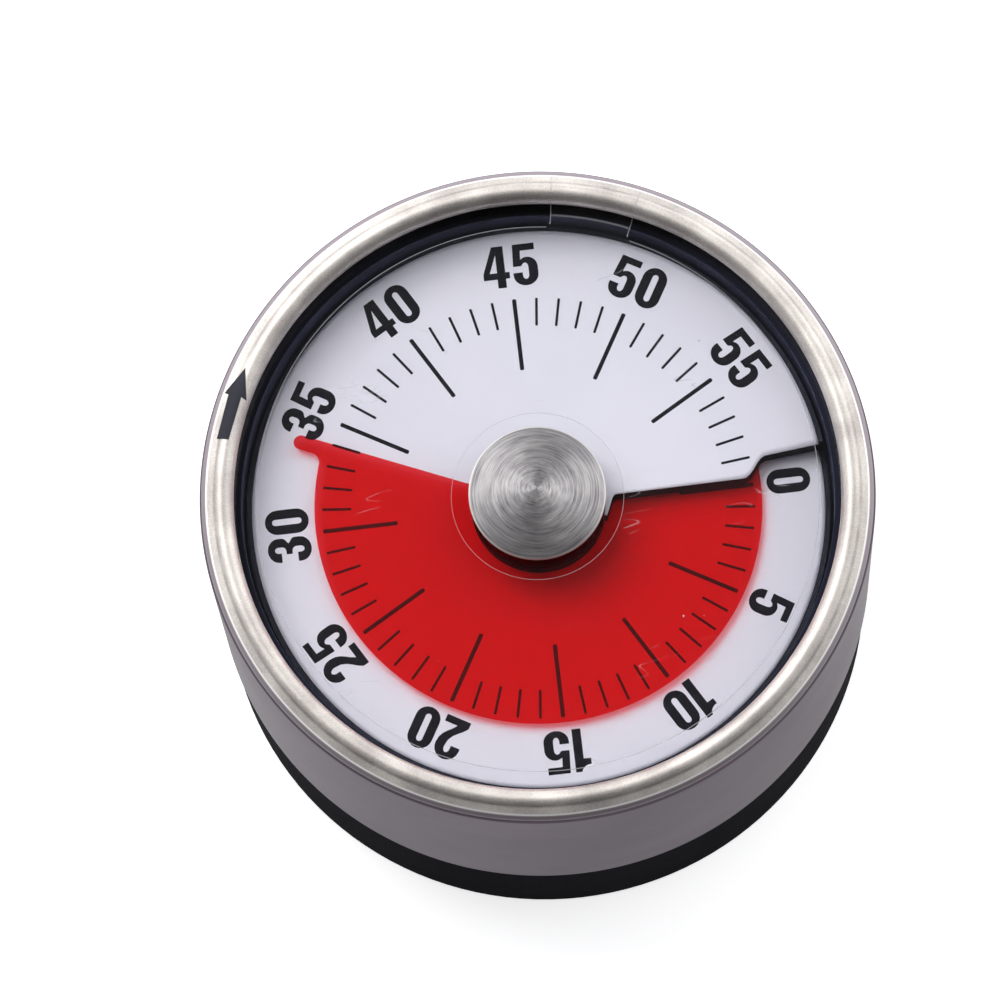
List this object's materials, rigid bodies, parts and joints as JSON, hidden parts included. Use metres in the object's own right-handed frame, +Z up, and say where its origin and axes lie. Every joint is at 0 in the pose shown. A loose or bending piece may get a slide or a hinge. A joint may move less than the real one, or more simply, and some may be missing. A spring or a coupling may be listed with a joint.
{
  "type": "kitchen timer",
  "caption": "Round wind-up kitchen timer: a steel case turns on a black base, and a red film under the lens shows the time left on a slit dial.",
  "frame": {"origin": "centre of the bottom face, where the timer stands", "axes": "+Z up the axis of the timer, +X towards the zero mark of the dial"},
  "size_m": [0.06, 0.06, 0.036],
  "materials": {
    "black_plastic": "moulded, lightly textured",
    "magnet": "nickel plated",
    "bell_steel": "plated",
    "screw_steel": "zinc plated",
    "plate_steel": "stamped",
    "wheel_brass": "stamped",
    "arbor_steel": "turned",
    "spring_steel": "blued",
    "carrier_plastic": "moulded",
    "dial_sheet": "white printed sheet",
    "shell_steel": "satin, brushed round the wall",
    "liner_plastic": "smooth black",
    "lens_clear": "clear acrylic",
    "peel_film": "clear film",
    "knob_steel": "turned, concentric grooves",
    "hub_plastic": "black",
    "red_film": "translucent red"
  },
  "bodies": {
    "case": {"base_cover": "black_plastic", "movement_tube": "black_plastic", "ring_magnet": "magnet", "bell": "bell_steel", "bell_screw": "screw_steel", "back_plate": "plate_steel", "front_plate": "plate_steel", "pillars": "wheel_brass", "pillar_screws": "screw_steel", "case_screws": "screw_steel", "spring_post": "arbor_steel", "mainspring": "spring_steel", "dial_carrier": "carrier_plastic", "dial": "dial_sheet"},
    "winder": {"steel_shell": "shell_steel", "bezel_liner": "liner_plastic", "lens": "lens_clear", "protective_film": "peel_film", "knob_cap": "knob_steel", "knob_washer": "hub_plastic", "knob_hub": "hub_plastic", "hub_screw": "screw_steel", "time_film": "red_film", "main_arbor": "arbor_steel", "main_gear": "wheel_brass", "trip_cam": "carrier_plastic"},
    "second_train": {"second_arbor": "arbor_steel", "second_pinion": "arbor_steel", "second_wheel": "wheel_brass"},
    "third_train": {"third_arbor": "arbor_steel", "third_pinion": "arbor_steel", "third_wheel": "wheel_brass"},
    "escape_train": {"escape_arbor": "arbor_steel", "escape_pinion": "arbor_steel", "escape_wheel": "wheel_brass"},
    "balance": {"balance_staff": "arbor_steel", "balance_wheel": "wheel_brass", "pallet_lever": "plate_steel"},
    "hammer_unit": {"hammer_arbor": "arbor_steel", "hammer": "arbor_steel", "trip_lever": "plate_steel"}
  },
  "joints": [
    {"name": "winding", "type": "hinge", "parent": "case", "child": "winder", "pos_m": [0, 0, 0.02], "axis": [0, 0, -1], "range_deg": [-204, 126], "deforming": ["mainspring"]},
    {"name": "second_spin", "type": "hinge", "parent": "case", "child": "second_train", "pos_m": [-0.01316, -0.00479, 0.018], "axis": [0, 0, -1], "range_deg": [-756, 1224]},
    {"name": "third_spin", "type": "hinge", "parent": "case", "child": "third_train", "pos_m": [-0.00791, -0.01388, 0.018], "axis": [0, 0, -1], "range_deg": [-6120, 3780]},
    {"name": "escape_spin", "type": "hinge", "parent": "case", "child": "escape_train", "pos_m": [0.00172, -0.01388, 0.018], "axis": [0, 0, -1], "range_deg": [-17010, 27540]},
    {"name": "balance_swing", "type": "hinge", "parent": "case", "child": "balance", "pos_m": [0.00945, -0.01181, 0.018], "axis": [0, 0, 1], "range_deg": [-12, 12]},
    {"name": "hammer_swing", "type": "hinge", "parent": "case", "child": "hammer_unit", "pos_m": [0.016, 0.0125, 0.015], "axis": [0, 0, 1], "range_deg": [-6, 8]}
  ],
  "couplings": [
    {"joint": "second_spin", "follows": "winding", "ratio": -6},
    {"joint": "third_spin", "follows": "winding", "ratio": 30},
    {"joint": "escape_spin", "follows": "winding", "ratio": -135}
  ]
}
